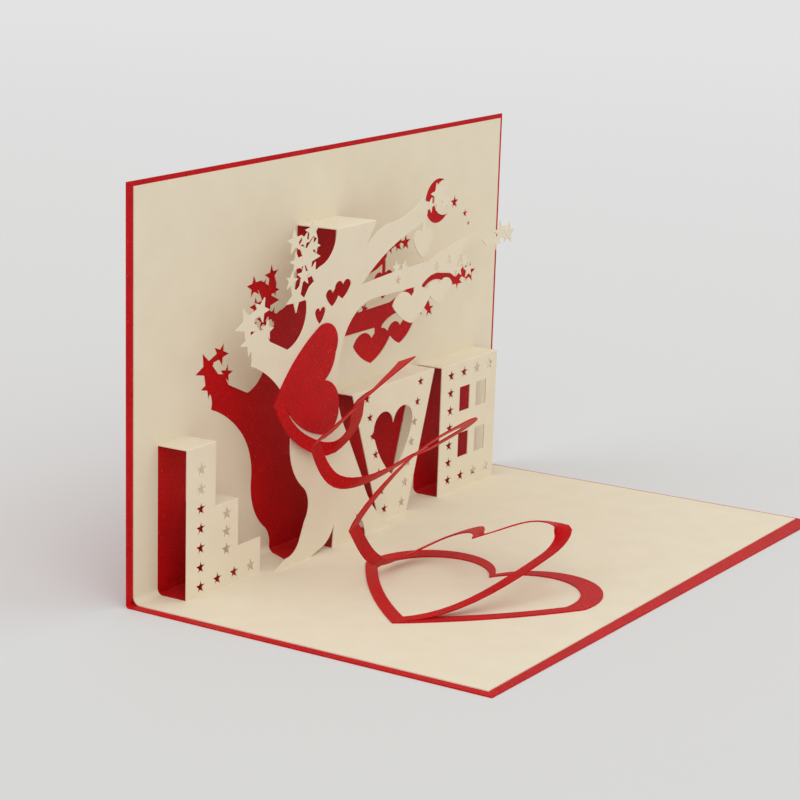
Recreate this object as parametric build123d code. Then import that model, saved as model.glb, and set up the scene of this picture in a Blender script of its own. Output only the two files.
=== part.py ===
from build123d import *
import os
from math import cos, radians, sin, tan

# A greeting card that stands open on its base leaf. A red cover is folded once. A cream sheet is glued
# inside it, cut and folded so that a tree and three blocks stand up from its main fold. A red heart, cut
# into a spiral, is glued by its outer ring to the base leaf and by its middle to the trunk of the tree.
# Millimetres and degrees. X runs along the spine, -Y towards the reader, Z up.

# ---- driving dimensions ----
card_width = 150.0        # along the spine
base_leaf = 100.0         # spine to front edge
back_leaf = 98.5          # spine to top edge, as the fold lies a little off the middle
opening = 87.3            # angle between the two leaves
cover_card = 0.3          # thickness of the red card
sheet_paper = 0.25        # thickness of the cream sheet
cover_bend = 0.5          # inside radius of the cover's fold
sheet_bend = 1.6          # inside radius of the sheet's fold, which bows clear of the cover

left_margin = 2.1         # red left showing round the cream sheet
right_margin = 1.1
top_margin = 1.4
front_margin_left = 2.5   # the front edge of the sheet is cut slightly out of square
front_margin_right = 4.9

# ---- pop-up blocks, all from the cream sheet: depth from the back leaf, height along it ----
stair_depth = 8.8
stair_edges = [10.3, 20.4, 28.8, 37.2]
stair_heights = [36.3, 20.5, 8.8]
planter_depth = 8.2
planter_height = 36.2
planter_top = (73.8, 109.6)
planter_foot = (86.6, 98.8)
window_block_depth = 8.0
window_block_height = 35.5
window_block_sides = (113.4, 139.6)
tree_depth = 12.0
tree_height = 80.4
tree_top = (60.7, 76.3)
top_shoulder = 0.8        # straight sides just below the fold at the top of the tree
star_radius = 1.7         # stars pierced in the straight-sided blocks
planter_star_radius = 1.5

# ---- red heart spiral ----
spiral_card = 0.3
spiral_axis_depth = 57.0           # from the spine to the line of symmetry of the flat heart
rim_tip = 24.5
rim_end = 76.0
rim_half_width = 30.8
rim_notch = 66.5
rim_tip_width = 4.4                # width of the glued ring at its tip, round its lobes and at its notch
rim_lobe_width = 4.3
rim_notch_width = 2.6

lean = 90.0 - opening
level = cover_card + sheet_paper   # height of the cream surface of the base leaf
half_open = radians(opening / 2)


# ---- frames: the base leaf, and any plane parallel to the back leaf ----
def place(y, z):
    return (-card_width / 2, y, z)


def base_plane(height=level):
    # sketch x along the spine, sketch y towards the back
    return Plane(origin=place(0, height), x_dir=(1, 0, 0), z_dir=(0, 0, 1))


def upright_plane(depth=0.0):
    # sketch x along the spine, sketch y up the leaf, normal towards the reader
    normal = (0, -cos(radians(lean)), -sin(radians(lean)))
    return Plane(origin=place(-depth, level), x_dir=(1, 0, 0), z_dir=normal)


def up_leaf(height, depth=0.0):
    # section position of a point at a height along a plane parallel to the back leaf
    return (-depth - height * sin(radians(lean)), level + height * cos(radians(lean)))


# ---- folds ----
def bent_strip(vertex, radius, thickness, base_length, back_length):
    # section of a leaf pair: two straight runs and the arc between them
    bisector = Vector(-1 - sin(radians(lean)), cos(radians(lean))).normalized()
    towards_front = Vector(-1, 0)
    towards_top = Vector(-sin(radians(lean)), cos(radians(lean)))
    inner = Vector(*vertex)
    outer = inner - bisector * (thickness / sin(half_open))
    centre = inner + bisector * (radius / sin(half_open))
    inner_run = radius / tan(half_open)
    outer_run = (radius + thickness) / tan(half_open)
    spread = thickness / tan(half_open)
    inside_start = inner + towards_front * inner_run
    inside_end = inner + towards_top * inner_run
    inside = [
        Line(inner + towards_front * base_length, inside_start),
        ThreePointArc(inside_start, centre - bisector * radius, inside_end),
        Line(inside_end, inner + towards_top * back_length),
    ]
    outside = [
        Line(inner + towards_top * back_length, outer + towards_top * (back_length + spread)),
        Line(outer + towards_top * (back_length + spread), outer + towards_top * outer_run),
        ThreePointArc(
            outer + towards_top * outer_run,
            centre - bisector * (radius + thickness),
            outer + towards_front * outer_run,
        ),
        Line(outer + towards_front * outer_run, outer + towards_front * (base_length + spread)),
        Line(outer + towards_front * (base_length + spread), inner + towards_front * base_length),
    ]
    return make_face(inside + outside)


def along_spine(section, start, end):
    plane = Plane(origin=(start - card_width / 2, 0, 0), x_dir=(0, 1, 0), z_dir=(1, 0, 0))
    return extrude(plane * section, amount=end - start)


def crease(corner, first_angle, last_angle, start, end):
    # the rounded outside of one fold: a sector of the paper's thickness about the inside corner
    def rim(angle):
        return Vector(*corner) + Vector(cos(radians(angle)), sin(radians(angle))) * sheet_paper

    middle = (first_angle + last_angle) / 2
    sector = make_face([
        Line(Vector(*corner), rim(first_angle)),
        ThreePointArc(rim(first_angle), rim(middle), rim(last_angle)),
        Line(rim(last_angle), Vector(*corner)),
    ])
    return along_spine(sector, start, end)


# ---- flat shapes ----
def star(x, y, radius, turn=90.0):
    points = []
    for corner in range(10):
        reach = radius if corner % 2 == 0 else radius * 0.42
        angle = radians(turn + 36 * corner)
        points.append((x + reach * cos(angle), y + reach * sin(angle)))
    return make_face(Polyline(*points, close=True))


def little_heart(x, tip, width, height):
    # tip down: straight flanks and two round lobes
    half = width / 2
    shoulder = tip + height * 0.68
    notch = tip + height * 0.8
    edges = []
    for side in (-1, 1):
        flank = (x + side * half * 0.66, tip + height * 0.34)
        widest = (x + side * half, shoulder)
        edges.append(ThreePointArc((x, tip), flank, widest))
        edges.append(ThreePointArc(widest, (x + side * half * 0.62, tip + height), (x, notch)))
    return make_face(edges)


def outline(start, *steps):
    # closed outline of straight and curved steps: ("to", end) or ("bow", point on the way, end)
    here = start
    edges = []
    for step in steps:
        if step[0] == "to":
            edges.append(Line(here, step[1]))
        else:
            edges.append(ThreePointArc(here, step[1], step[2]))
        here = step[-1]
    if here != start:
        edges.append(Line(here, start))
    return make_face(edges)


def rectangle(left, bottom, right, top):
    return make_face(Polyline((left, bottom), (right, bottom), (right, top), (left, top), close=True))


def merged(shapes):
    whole = shapes[0]
    for shape in shapes[1:]:
        whole = whole + shape
    return whole


# ---- the front faces of the blocks ----
def stair_front():
    steps = [
        rectangle(left, 0, right, height)
        for left, right, height in zip(stair_edges, stair_edges[1:], stair_heights)
    ]
    first_column = (stair_edges[0] + stair_edges[1]) / 2
    holes = [star(first_column, 2.1 + 4.75 * row, star_radius) for row in range(7)]
    holes += [star(first_column + 6.1 * column, 2.5, star_radius) for column in range(1, 4)]
    holes += [star((stair_edges[1] + stair_edges[2]) / 2, 9.0 + 4.4 * row, star_radius) for row in range(3)]
    return merged(steps) - merged(holes)


def planter_front():
    sides = [
        (planter_foot[0], 0), (planter_foot[1], 0),
        (planter_top[1], planter_height), (planter_top[0], planter_height),
    ]
    body = make_face(Polyline(*sides, close=True))
    inset = 5.6
    rows = 7
    holes = [little_heart((planter_top[0] + planter_top[1]) / 2, 11.5, 16.5, 17.5)]
    for row in range(rows):
        share = (row + 0.55) / rows
        left = planter_foot[0] + (planter_top[0] - planter_foot[0]) * share + inset * (0.55 + 0.45 * share)
        right = planter_foot[1] + (planter_top[1] - planter_foot[1]) * share - inset * (0.55 + 0.45 * share)
        for x in (left, right):
            holes.append(star(x, planter_height * share, planter_star_radius))
    return body - merged(holes)


def window_block_front():
    left, right = window_block_sides
    body = rectangle(left, 0, right, window_block_height)
    star_column = left + 4.6
    sill = 9.0
    rail = 6.0
    pane_height = (window_block_height - 2 * sill - rail + 2.0) / 2
    pane_width = 4.8
    mullion = 3.0
    first_pane = left + 8.8
    holes = []
    for row in range(2):
        bottom = sill + row * (pane_height + rail)
        for column in range(2):
            start = first_pane + column * (pane_width + mullion)
            holes.append(rectangle(start, bottom, start + pane_width, bottom + pane_height))
    holes += [star(star_column, 3.6 + 4.8 * row, star_radius) for row in range(7)]
    for row_height in (3.6, 32.4):
        holes += [star(star_column + 6.0 * column, row_height, star_radius) for column in range(1, 4)]
    return body - merged(holes)


def tree_front():
    left_top, right_top = tree_top
    silhouette = outline(
        (38.8, 0),
        # left side of the trunk, then the lower edge of the left bough
        ("to", (43.2, 2.1)),
        ("bow", (46.8, 3.2), (48.4, 5.2)),
        ("to", (50.4, 9.8)),
        ("bow", (51.8, 14.3), (50.0, 18.3)),
        ("bow", (46.0, 23.0), (44.2, 31.0)),
        ("bow", (43.4, 39.2), (39.7, 45.3)),
        ("bow", (35.4, 49.2), (29.0, 52.7)),
        # end of the left bough
        ("bow", (29.2, 55.0), (28.0, 57.4)),
        ("to", (30.5, 61.0)),
        ("to", (33.8, 60.4)),
        ("to", (35.6, 57.4)),
        # crook between the left bough and the crown
        ("to", (42.5, 54.1)),
        ("bow", (48.1, 58.0), (49.4, 64.6)),
        ("to", (48.4, 65.4)),
        ("to", (50.4, 68.0)),
        ("to", (52.2, 69.0)),
        ("to", (52.2, 71.2)),
        ("to", (54.3, 72.2)),
        ("bow", (58.9, 74.7), (left_top, tree_height - top_shoulder)),
        ("to", (left_top, tree_height)),
        ("to", (right_top, tree_height)),
        ("to", (right_top, tree_height - top_shoulder)),
        # upper right bough
        ("to", (72.7, 74.7)),
        ("bow", (77.4, 77.5), (84.0, 78.9)),
        ("bow", (91.2, 80.4), (96.6, 83.1)),
        ("to", (98.6, 81.4)),
        ("to", (98.2, 78.6)),
        ("bow", (96.0, 76.9), (92.4, 75.7)),
        ("bow", (83.3, 72.6), (74.7, 67.8)),
        ("to", (71.2, 65.2)),
        # lower right bough, out to its stars and back
        ("to", (84.0, 66.1)),
        ("to", (100.0, 66.6)),
        ("bow", (111.0, 69.6), (121.0, 71.0)),
        ("to", (130.5, 69.4)),
        ("to", (130.5, 66.4)),
        ("to", (126.0, 66.7)),
        ("bow", (120.4, 69.3), (115.0, 67.4)),
        ("to", (113.0, 65.2)),
        ("to", (111.6, 60.8)),
        ("bow", (105.0, 63.2), (97.0, 61.0)),
        ("to", (96.6, 58.6)),
        ("to", (93.6, 58.6)),
        ("to", (93.6, 60.9)),
        ("to", (76.6, 60.9)),
        ("bow", (69.4, 58.7), (65.0, 54.0)),
        # right side of the trunk and its roots
        ("bow", (62.5, 47.5), (62.0, 40.0)),
        ("bow", (63.6, 34.5), (66.5, 28.7)),
        ("to", (73.3, 16.0)),
        ("bow", (78.2, 7.2), (86.8, 0)),
        ("to", (75.6, 0)),
        ("bow", (74.4, 3.6), (71.3, 6.6)),
        ("bow", (71.8, 3.0), (70.4, 0)),
        ("to", (61.8, 0)),
        ("to", (62.3, 6.6)),
        ("bow", (61.0, 3.9), (58.3, 1.7)),
        ("to", (53.0, 0)),
    )
    left_bough_stars = [
        star(27.8, 62.8, 4.6, 44), star(32.4, 65.4, 3.1, 66),
        star(34.6, 60.3, 2.5, 6), star(28.6, 58.6, 3.4, 188),
    ]
    crown_stars = [
        star(45.4, 66.3, 3.8, -90), star(43.6, 70.4, 2.4, 80), star(48.2, 71.0, 2.7, 20),
        star(51.6, 71.5, 2.4, 66), star(49.6, 75.4, 4.8, -7), star(45.4, 74.6, 2.6, 100),
        star(44.6, 79.6, 3.0, 96), star(51.2, 81.3, 2.9, 24), star(52.4, 77.6, 1.9, 210),
        star(48.2, 79.4, 2.0, 60),
    ]
    upper_bough_stars = [
        star(99.6, 80.9, 2.0, 70), star(102.7, 83.3, 3.0, 100),
        star(106.3, 81.2, 2.3, 90), star(103.0, 81.0, 2.0, 30),
    ]
    lower_bough_stars = [
        star(85.6, 67.0, 2.0, 90), star(89.0, 66.6, 1.8, 70),
        star(113.4, 62.4, 2.2, 90), star(115.8, 64.2, 2.3, 60), star(118.0, 61.6, 2.2, 20),
        star(132.8, 69.4, 3.2, 100), star(136.6, 68.6, 3.0, 84), star(131.0, 67.2, 2.4, 50),
    ]
    hearts = [
        little_heart(92.6, 51.8, 16.2, 8.4),
        little_heart(105.0, 54.8, 11.2, 6.2),
        little_heart(97.0, 67.9, 8.6, 7.2),
        rectangle(96.2, 72.6, 97.8, 78.0),
    ]
    holes = [
        little_heart(54.8, 58.1, 4.1, 4.1),
        little_heart(59.6, 61.6, 5.6, 4.4),
        little_heart(63.6, 62.9, 6.6, 4.6),
        star(86.4, 63.7, 1.3), star(103.0, 64.6, 1.4, 70), star(108.6, 65.6, 1.4, 20),
    ]
    stars = left_bough_stars + crown_stars + upper_bough_stars + lower_bough_stars
    return merged([silhouette] + stars + hearts) - merged(holes)


# ---- building a block from its front face ----
def shifted(shape, amount):
    return Pos(0, amount) * shape


def back_opening(front, depth, top_runs):
    # what the front face and the top leave behind in the back page
    opening_shape = shifted(front, -depth)
    for start, end, height in top_runs:
        opening_shape = opening_shape + rectangle(start, height - depth, end, height)
    return opening_shape


def base_opening(front, depth):
    # what the front face leaves behind in the base page
    return shifted(front, -depth)


def filled(front):
    # the outline of a front face with its cut-outs closed
    return merged([make_face(face.outer_wire()) for face in front.faces()])


def block_parts(front, depth, top_runs, foot_runs):
    parts = [extrude(upright_plane(depth) * front, amount=-sheet_paper)]
    for start, end, height in top_runs:
        front_y, top_z = up_leaf(height, depth)
        back_y, _ = up_leaf(height)
        inset = sheet_paper / cos(radians(lean))
        inner_y = front_y + inset - sheet_paper * tan(radians(lean))
        # trim the panel's top to leave room for the rounded fold, then lay the top panel behind it
        trim = Plane(origin=(start - card_width / 2, front_y - 1, top_z - sheet_paper), z_dir=(0, 0, 1))
        corner_block = trim * Pos((end - start) / 2, 0, 0.5) * Box(end - start, 2 + 2 * sheet_paper, 1.0)
        parts[0] = parts[0] - corner_block
        top = rectangle(start, inner_y, end, back_y)
        parts.append(extrude(base_plane(top_z) * top, amount=-sheet_paper))
        parts.append(crease((inner_y, top_z - sheet_paper), 90, 180 + lean, start, end))
        parts.append(crease((back_y, top_z), -90, lean, start, end))
    for start, end in foot_runs:
        parts.append(crease((-depth, level), -90, lean, start, end))
    return parts


blocks = [
    (
        stair_front(), stair_depth,
        list(zip(stair_edges, stair_edges[1:], stair_heights[:2])),
        [(stair_edges[0], stair_edges[-1])],
    ),
    (planter_front(), planter_depth, [(*planter_top, planter_height)], [planter_foot]),
    (
        window_block_front(), window_block_depth,
        [(*window_block_sides, window_block_height)], [window_block_sides],
    ),
    (tree_front(), tree_depth, [(*tree_top, tree_height)], [(38.8, 53.0), (61.8, 70.4), (75.6, 86.8)]),
]


def pop_up_sheet():
    sheet_right = card_width - right_margin
    base_length = base_leaf - front_margin_left
    section = bent_strip((0, level), sheet_bend, sheet_paper, base_length, back_leaf - top_margin)
    pages = along_spine(section, left_margin, sheet_right)
    front_cut = make_face(Polyline(
        (left_margin, front_margin_left - base_leaf),
        (sheet_right, front_margin_right - base_leaf),
        (sheet_right, -base_leaf - 1), (left_margin, -base_leaf - 1), close=True))
    pages = pages - extrude(base_plane(0) * front_cut, amount=3)
    reach = sheet_bend + 1
    for front, depth, top_runs, _ in blocks:
        whole = filled(front)
        in_back = back_opening(whole, depth, top_runs) & rectangle(0, 0, card_width, back_leaf)
        in_base = base_opening(whole, depth) & rectangle(0, -depth, card_width, 0)
        pages = pages - extrude(upright_plane() * in_back, amount=reach, both=True)
        pages = pages - extrude(base_plane(0) * in_base, amount=reach)
    moon = Circle(5.9).moved(Location((120.5, 78.3))) - Circle(4.7).moved(Location((123.4, 78.9)))
    sky = [moon, star(128.2, 76.9, 1.9), star(133.4, 73.2, 1.25), star(135.2, 70.3, 0.75)]
    for cut in sky:
        pages = pages - extrude(upright_plane() * cut, amount=-1)
    for block in blocks:
        for piece in block_parts(*block):
            pages = pages + piece
    return pages


def cover():
    offset = sheet_paper / sin(half_open)
    bisector = Vector(-1 - sin(radians(lean)), cos(radians(lean))).normalized()
    vertex = Vector(0, level) - bisector * offset
    section = bent_strip((vertex.X, vertex.Y), cover_bend, cover_card, base_leaf, back_leaf)
    return along_spine(section, 0, card_width)


# ---- the heart spiral ----
def heart_loop(tip, end, half_width, notch):
    # a heart lying on its side, symmetrical about sketch y = 0, tip towards -X
    length = end - tip
    edges = []
    for side in (-1, 1):
        shoulder = (tip + 0.62 * length, side * half_width)
        flank = (tip + 0.29 * length, side * half_width * 0.55)
        edges.append(ThreePointArc((tip, 0), flank, shoulder))
        edges.append(ThreePointArc(shoulder, (end, side * half_width * 0.52), (notch, 0)))
    return make_face(edges)


def glued_ring():
    outer = heart_loop(rim_tip, rim_end, rim_half_width, rim_notch)
    inner = heart_loop(
        rim_tip + rim_tip_width, rim_end - rim_lobe_width,
        rim_half_width - rim_lobe_width, rim_notch - rim_notch_width,
    )
    ring = shifted(outer - inner, -spiral_axis_depth)
    return extrude(base_plane(level) * ring, amount=spiral_card)


# Where the stretched turns pass: along the spine, forward of it and above the table, then how far the
# strip has tipped up from lying flat. Each strand runs between a tip and a notch of its heart.
strip_start = (rim_tip + 2.8, spiral_axis_depth, level + spiral_card / 2, 0)
strands = [
    [
        strip_start, (37.5, 65.4, 2.4, 4), (52.5, 71.3, 6.6, 8), (61.5, 73.2, 9.0, 12), (68.6, 73.7, 11.3, 16),
        (72.2, 71.9, 13.3, 20), (71.2, 68.2, 14.5, 23), (66.2, 62.8, 14.1, 25), (59.0, 57.0, 12.2, 28),
    ],
    [
        (59.0, 57.0, 12.2, 28), (66.0, 52.4, 11.0, 28), (70.5, 46.5, 8.8, 26), (69.8, 39.8, 5.8, 24),
        (62.0, 35.2, 3.0, 26), (52.0, 34.8, 3.6, 34), (42.0, 37.0, 9.6, 50), (33.0, 40.2, 18.0, 60),
    ],
    [
        (33.0, 40.2, 18.0, 60), (32.5, 47.5, 27.5, 50), (41.5, 51.2, 34.8, 40), (56.0, 51.9, 37.8, 36),
        (63.6, 51.2, 37.8, 38), (67.2, 49.0, 36.2, 40), (66.4, 44.0, 32.6, 40), (62.0, 39.0, 29.0, 38),
    ],
    [
        (62.0, 39.0, 29.0, 38), (66.0, 34.6, 27.4, 36), (63.5, 30.0, 24.0, 40), (55.0, 26.8, 21.8, 50),
        (46.5, 25.4, 23.4, 64), (40.5, 25.8, 28.8, 68), (35.5, 27.6, 35.4, 62),
    ],
    [
        (35.5, 27.6, 35.4, 62), (36.7, 34.5, 41.6, 32), (43.0, 38.6, 47.8, 24), (54.0, 39.0, 52.0, 22),
        (59.5, 36.5, 51.8, 22), (58.5, 32.5, 47.8, 26), (54.0, 28.8, 43.5, 38),
    ],
    [
        (54.0, 28.8, 43.5, 38), (57.0, 23.8, 38.5, 50), (59.6, 19.8, 32.0, 62), (56.8, 17.0, 28.3, 72),
        (49.8, 15.4, 30.0, 80), (43.6, 14.7, 34.6, 84),
    ],
]
tip_width = 3.0       # the strip near a heart's tip, round its lobe and at its notch
lobe_width = 4.3
notch_width = 2.4
lobe_share = 0.7      # how far along a strand its lobe is
steps_per_span = 4


def strip_width(share):
    if share < lobe_share:
        return tip_width + (lobe_width - tip_width) * (share / lobe_share) ** 2
    return lobe_width + (notch_width - lobe_width) * ((share - lobe_share) / (1 - lobe_share)) ** 1.5


def heart_tip_station():
    # the last turn runs into the middle heart, flat on the trunk
    y, height = up_leaf(40.6, tree_depth + spiral_card / 2)
    return (39.6, -y, height, 90 - lean)


def strand_stations(path, outward):
    # points of one strand with the direction across the strip, the way its face looks, and its width
    knots = [Vector(x - card_width / 2, -forward, height) for x, forward, height, _ in path]
    curve = Spline(*knots)
    where = [curve.param_at_point(knot) for knot in knots]
    spans = len(path) - 1
    stations = []
    for step in range(spans * steps_per_span + 1):
        before = min(step // steps_per_span, spans - 1)
        part = step / steps_per_span - before
        along = where[before] + (where[before + 1] - where[before]) * part
        tilt = path[before][3] + (path[before + 1][3] - path[before][3]) * part
        face_normal = Vector(0, sin(radians(tilt)), cos(radians(tilt)))
        across = (curve % along).cross(face_normal).normalized()
        share = along if outward else 1 - along
        stations.append([curve @ along, across, face_normal, strip_width(share)])
    return stations


def strip():
    paths = [list(strand) for strand in strands]
    paths[-1].append(heart_tip_station())
    stations = []
    for index, path in enumerate(paths):
        run = strand_stations(path, index % 2 == 0)
        if stations:
            # mitre the corner at a tip or a notch
            last, first = stations.pop(), run.pop(0)
            corner = (last[1] + first[1]) / (1 + last[1].dot(first[1]))
            stations.append([first[0], corner, first[2], first[3]])
        stations += run
    sections = []
    for point, across, face_normal, width in stations:
        side = across * (width / 2)
        rise = face_normal * (spiral_card / 2)
        corners = [point - side - rise, point + side - rise, point + side + rise, point - side + rise]
        sections.append(Face(Wire.make_polygon(corners, close=True)))
    return loft(sections, ruled=True)


def middle_heart():
    shape = outline(
        (37.3, 41.5),
        ("bow", (44.9, 50.9), (54.4, 57.6)),
        ("bow", (60.4, 56.4), (60.9, 50.4)),
        ("bow", (59.6, 46.7), (56.8, 44.0)),
        ("bow", (61.6, 40.8), (62.6, 35.6)),
        ("bow", (60.4, 31.4), (55.0, 30.9)),
        ("bow", (47.2, 34.6), (41.6, 40.6)),
        ("to", (39.6, 39.0)),
    )
    return extrude(upright_plane(tree_depth) * shape, amount=spiral_card)


def heart_spiral():
    return glued_ring() + strip() + middle_heart()


if __name__ == "__main__":
    os.makedirs("parts", exist_ok=True)
    folded_card = cover()
    outside = folded_card.bounding_box()
    centred = Pos(0, -(outside.min.Y + outside.max.Y) / 2, 0)
    export_step(centred * folded_card, "parts/cover.step")
    export_step(centred * pop_up_sheet(), "parts/pop_up_sheet.step")
    export_step(centred * heart_spiral(), "parts/heart_spiral.step")
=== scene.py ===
import math

import bpy
from mathutils import Matrix, Vector

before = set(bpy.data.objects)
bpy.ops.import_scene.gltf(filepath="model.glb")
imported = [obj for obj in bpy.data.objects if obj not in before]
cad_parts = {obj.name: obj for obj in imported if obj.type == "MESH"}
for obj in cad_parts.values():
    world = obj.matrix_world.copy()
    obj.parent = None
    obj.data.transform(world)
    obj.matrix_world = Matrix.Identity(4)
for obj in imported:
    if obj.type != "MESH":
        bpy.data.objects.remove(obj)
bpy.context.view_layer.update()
print("frame loaded")

mm = 0.001
noiseLow, noiseHigh = 0.3, 0.7    # nearly all of a noise texture's values lie between these


def srgb(hexCode):
    # sRGB hex to the linear colour that the shader wants
    channels = [int(hexCode[i:i + 2], 16) / 255 for i in (1, 3, 5)]
    linear = [c / 12.92 if c <= 0.04045 else ((c + 0.055) / 1.055) ** 2.4 for c in channels]
    return (*linear, 1.0)


def addNode(owner, kind, settings=None, inputs=None, links=()):
    # one node of a material or a world: its settings, the values of its sockets,
    # and its links as (socket, source node, source output)
    node = owner.node_tree.nodes.new(kind)
    for name, value in (settings or {}).items():
        setattr(node, name, value)
    for name, value in (inputs or {}).items():
        node.inputs[name].default_value = value
    for socket, source, output in links:
        joinTo(owner, source, output, node, socket)
    return node


def joinTo(owner, node, output, target, socket):
    owner.node_tree.links.new(node.outputs[output], target.inputs[socket])


def newMaterial(name):
    material = bpy.data.materials.new(name)
    material.use_nodes = True
    return material, material.node_tree.nodes["Principled BSDF"]


def setRamp(node, low, high, lowColour, highColour):
    first, last = node.color_ramp.elements
    first.position = low
    first.color = lowColour
    last.position = high
    last.color = highColour


def addNoise(material, place, sizeMm, detail):
    return addNode(material, "ShaderNodeTexNoise", inputs={"Scale": 1 / (sizeMm * mm), "Detail": detail},
                   links=[("Vector", place, "Object")])


def addTooth(material, shader, place, values):
    # the fibres of the sheet, felt as a fine relief and as a roughness that varies
    fibres = addNoise(material, place, values["fibreMm"], values["fibreDetail"])
    rough = addNode(material, "ShaderNodeMapRange", inputs={
        "From Min": noiseLow,
        "From Max": noiseHigh,
        "To Min": values["smoothest"],
        "To Max": values["roughest"],
    }, links=[("Value", fibres, "Fac")])
    joinTo(material, rough, "Result", shader, "Roughness")
    relief = {"Strength": values["reliefStrength"], "Distance": values["reliefMm"] * mm}
    bump = addNode(material, "ShaderNodeBump", inputs=relief, links=[("Height", fibres, "Fac")])
    joinTo(material, bump, "Normal", shader, "Normal")
    shader.inputs["IOR"].default_value = values["ior"]
    shader.inputs["Specular IOR Level"].default_value = values["specular"]


# ---- red pearl card: a dyed card with a mica coat, so it is satin, with fine flecks of mica, drawn lighter: partly the mica's own paler colour, partly a painted glint
pearlCard = {
    "red": "#CE0610",
    "deepRed": "#A80208",
    # fleck colour: the mica's own paler tint with a painted glint on top
    "micaTintAndGlint": "#D4404A",
    "cloudMm": 9.0,
    "grainMm": 0.5,
    "grainShare": 0.7,     # how much of the mottling is fine grain, the rest being soft clouds
    "mottleLow": 0.35,
    "mottleHigh": 0.65,
    "fleckMm": 0.9,        # drawn coarser than real mica, so that it shows
    "fleckReach": 0.19,    # radius of a fleck as a share of the spacing
    "fleckShare": 0.1,
    "fibreMm": 0.35,
    "fibreDetail": 3.0,
    "smoothest": 0.44,
    "roughest": 0.58,
    "reliefMm": 0.02,
    "reliefStrength": 0.35,
    "ior": 1.5,
    "specular": 0.12,
    "sheen": 0.18,
    "sheenRoughness": 0.4,
    "sheenTint": "#FF9A90",
}


def pearlCardMaterial(name, values):
    # a Mix node's sockets go by number: 0 factor, 2 and 3 values, 6 and 7 colours, outputs 0 and 2
    material, shader = newMaterial(name)
    place = addNode(material, "ShaderNodeTexCoord")
    clouds = addNoise(material, place, values["cloudMm"], 4.0)
    grain = addNoise(material, place, values["grainMm"], 2.0)
    mottle = addNode(material, "ShaderNodeMix", {"data_type": "FLOAT"}, {0: values["grainShare"]},
                     [(2, clouds, "Fac"), (3, grain, "Fac")])
    tone = addNode(material, "ShaderNodeValToRGB", links=[("Fac", mottle, 0)])
    setRamp(tone, values["mottleLow"], values["mottleHigh"], srgb(values["deepRed"]), srgb(values["red"]))
    flecks = addNode(material, "ShaderNodeTexVoronoi", inputs={"Scale": 1 / (values["fleckMm"] * mm)},
                     links=[("Vector", place, "Object")])
    near = addNode(material, "ShaderNodeMath", {"operation": "LESS_THAN"}, {1: values["fleckReach"]},
                   [(0, flecks, "Distance")])
    pick = addNode(material, "ShaderNodeSeparateColor", links=[("Color", flecks, "Color")])
    rare = addNode(material, "ShaderNodeMath", {"operation": "LESS_THAN"}, {1: values["fleckShare"]},
                   [(0, pick, "Red")])
    shows = addNode(material, "ShaderNodeMath", {"operation": "MULTIPLY"}, None, [(0, near, 0), (1, rare, 0)])
    # painted glint: the mica flecks get a lighter colour, partly their own tint, partly their sparkle
    colour = addNode(material, "ShaderNodeMix", {"data_type": "RGBA"}, {7: srgb(values["micaTintAndGlint"])},
                     [(0, shows, 0), (6, tone, "Color")])
    joinTo(material, colour, 2, shader, "Base Color")
    addTooth(material, shader, place, values)
    shader.inputs["Sheen Weight"].default_value = values["sheen"]
    shader.inputs["Sheen Roughness"].default_value = values["sheenRoughness"]
    shader.inputs["Sheen Tint"].default_value = srgb(values["sheenTint"])
    return material


# ---- cream wove paper: uncoated, matt, with a faint cloudy look-through and a fine tooth
wovePaper = {
    "cream": "#EADFC7",
    "shade": "#E7DBC2",
    "cloudMm": 7.0,
    "fibreMm": 0.30,
    "fibreDetail": 4.0,
    "smoothest": 0.77,
    "roughest": 0.87,
    "reliefMm": 0.015,
    "reliefStrength": 0.3,
    "ior": 1.47,
    "specular": 0.25,
}


def wovePaperMaterial(name, values):
    material, shader = newMaterial(name)
    place = addNode(material, "ShaderNodeTexCoord")
    clouds = addNoise(material, place, values["cloudMm"], 5.0)
    tone = addNode(material, "ShaderNodeValToRGB", links=[("Fac", clouds, "Fac")])
    setRamp(tone, noiseLow, noiseHigh, srgb(values["shade"]), srgb(values["cream"]))
    joinTo(material, tone, "Color", shader, "Base Color")
    addTooth(material, shader, place, values)
    return material


def dress(nodeName, material):
    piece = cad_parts[nodeName]
    piece.data.materials.clear()
    piece.data.materials.append(material)


redCard = pearlCardMaterial("redPearlCard", pearlCard)
creamPaper = wovePaperMaterial("creamWovePaper", wovePaper)
dress("cover", redCard)
dress("pop_up_sheet", creamPaper)
dress("heart_spiral", redCard)
print("materials done")


# ---- floor: a sweep of matt studio paper
floor = {
    "sizeM": 12.0,
    # painted light: the floor is darker at the front and lighter towards the back, standing in for how the
    # studio light falls off
    "near": "#D9D9D7",
    "far": "#E4E4E5",      # a shade lighter towards the back of the sweep
    "nearM": -0.2,
    "farM": 1.2,
    "roughness": 0.9,
    "specular": 0.1,
}

bpy.ops.object.select_all(action="DESELECT")
bpy.ops.mesh.primitive_plane_add(size=floor["sizeM"], location=(0, 0, 0))
studioFloor = bpy.context.object
studioFloor.name = "studioFloor"
floorPaint, floorShader = newMaterial("mattStudioPaper")
sweep = addNode(floorPaint, "ShaderNodeTexCoord")
sweepAxes = addNode(floorPaint, "ShaderNodeSeparateXYZ", links=[("Vector", sweep, "Object")])
sweepReach = {"From Min": floor["nearM"], "From Max": floor["farM"]}
sweepShare = addNode(floorPaint, "ShaderNodeMapRange", inputs=sweepReach, links=[("Value", sweepAxes, "X")])
# painted light falloff, from the near colour to the far colour
paintedFalloff = addNode(floorPaint, "ShaderNodeValToRGB", links=[("Fac", sweepShare, "Result")])
setRamp(paintedFalloff, 0.0, 1.0, srgb(floor["near"]), srgb(floor["far"]))
joinTo(floorPaint, paintedFalloff, "Color", floorShader, "Base Color")
floorShader.inputs["Roughness"].default_value = floor["roughness"]
floorShader.inputs["Specular IOR Level"].default_value = floor["specular"]
studioFloor.data.materials.append(floorPaint)
print("floor done")


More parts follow.
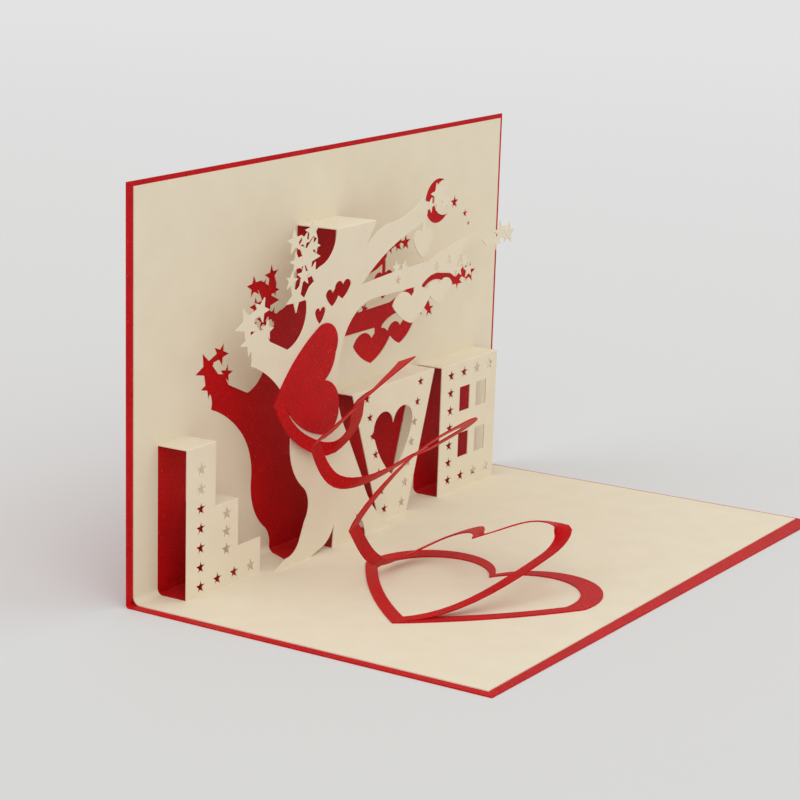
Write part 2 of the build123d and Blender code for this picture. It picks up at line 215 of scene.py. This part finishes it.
# ---- light: an even white sky and three broad, soft lamps
studio = {
    "backdrop": "#DEDEDF",
    "skyStrength": 0.68,
    "lampSpreadDeg": 50,
    "lamps": {
        "softSunRight": {"towards": (0.6, -0.5, 1.0), "strength": 0.3},
        "softSunLeft": {"towards": (-0.55, -0.75, 0.8), "strength": 0.75},
        "softSunBack": {"towards": (-1.0, 0.6, 0.9), "strength": 0.42},
    },
}

world = bpy.data.worlds.new("studioWorld")
bpy.context.scene.world = world
world.use_nodes = True
sky = world.node_tree.nodes["Background"]
sky.inputs["Color"].default_value = srgb("#FFFFFF")
sky.inputs["Strength"].default_value = studio["skyStrength"]
# the camera sees the backdrop's colour, and everything else the sky
backdrop = addNode(world, "ShaderNodeBackground", inputs={"Color": srgb(studio["backdrop"])})
rays = addNode(world, "ShaderNodeLightPath")
choose = addNode(world, "ShaderNodeMixShader", links=[
    ("Fac", rays, "Is Camera Ray"), (1, sky, "Background"), (2, backdrop, "Background"),
])
joinTo(world, choose, "Shader", world.node_tree.nodes["World Output"], "Surface")

for lampName, values in studio["lamps"].items():
    light = bpy.data.lights.new(lampName, "SUN")
    light.energy = values["strength"]
    light.angle = math.radians(studio["lampSpreadDeg"])
    lamp = bpy.data.objects.new(lampName, light)
    bpy.context.scene.collection.objects.link(lamp)
    lamp.location = Vector(values["towards"])
    lamp.rotation_euler = Vector(values["towards"]).to_track_quat("Z", "Y").to_euler()
print("light done")


# ---- camera
camera = {
    "lensMm": 103.54,
    "sensorMm": 36.0,
    "nearestM": 0.01,
    "place": (-0.4456, -0.29279, 0.1718),
    "yawDeg": 54.409,
    "pitchDeg": 13.808,
    "rollDeg": -0.427,
}

yaw, pitch, roll = (math.radians(camera[name]) for name in ("yawDeg", "pitchDeg", "rollDeg"))
ahead = Vector((math.sin(yaw) * math.cos(pitch), math.cos(yaw) * math.cos(pitch), -math.sin(pitch)))
levelRight = Vector((math.cos(yaw), -math.sin(yaw), 0))
levelUp = levelRight.cross(ahead)
right = levelRight * math.cos(roll) + levelUp * math.sin(roll)
up = right.cross(ahead)
cameraData = bpy.data.cameras.new("studioCamera")
cameraData.sensor_width = camera["sensorMm"]
cameraData.lens = camera["lensMm"]
cameraData.clip_start = camera["nearestM"]
cameraObject = bpy.data.objects.new("studioCamera", cameraData)
bpy.context.scene.collection.objects.link(cameraObject)
turn = Matrix((right, up, -ahead)).transposed().to_4x4()
cameraObject.matrix_world = Matrix.Translation(Vector(camera["place"])) @ turn
bpy.context.scene.camera = cameraObject

bpy.context.scene.view_settings.view_transform = "Standard"
print("camera done")
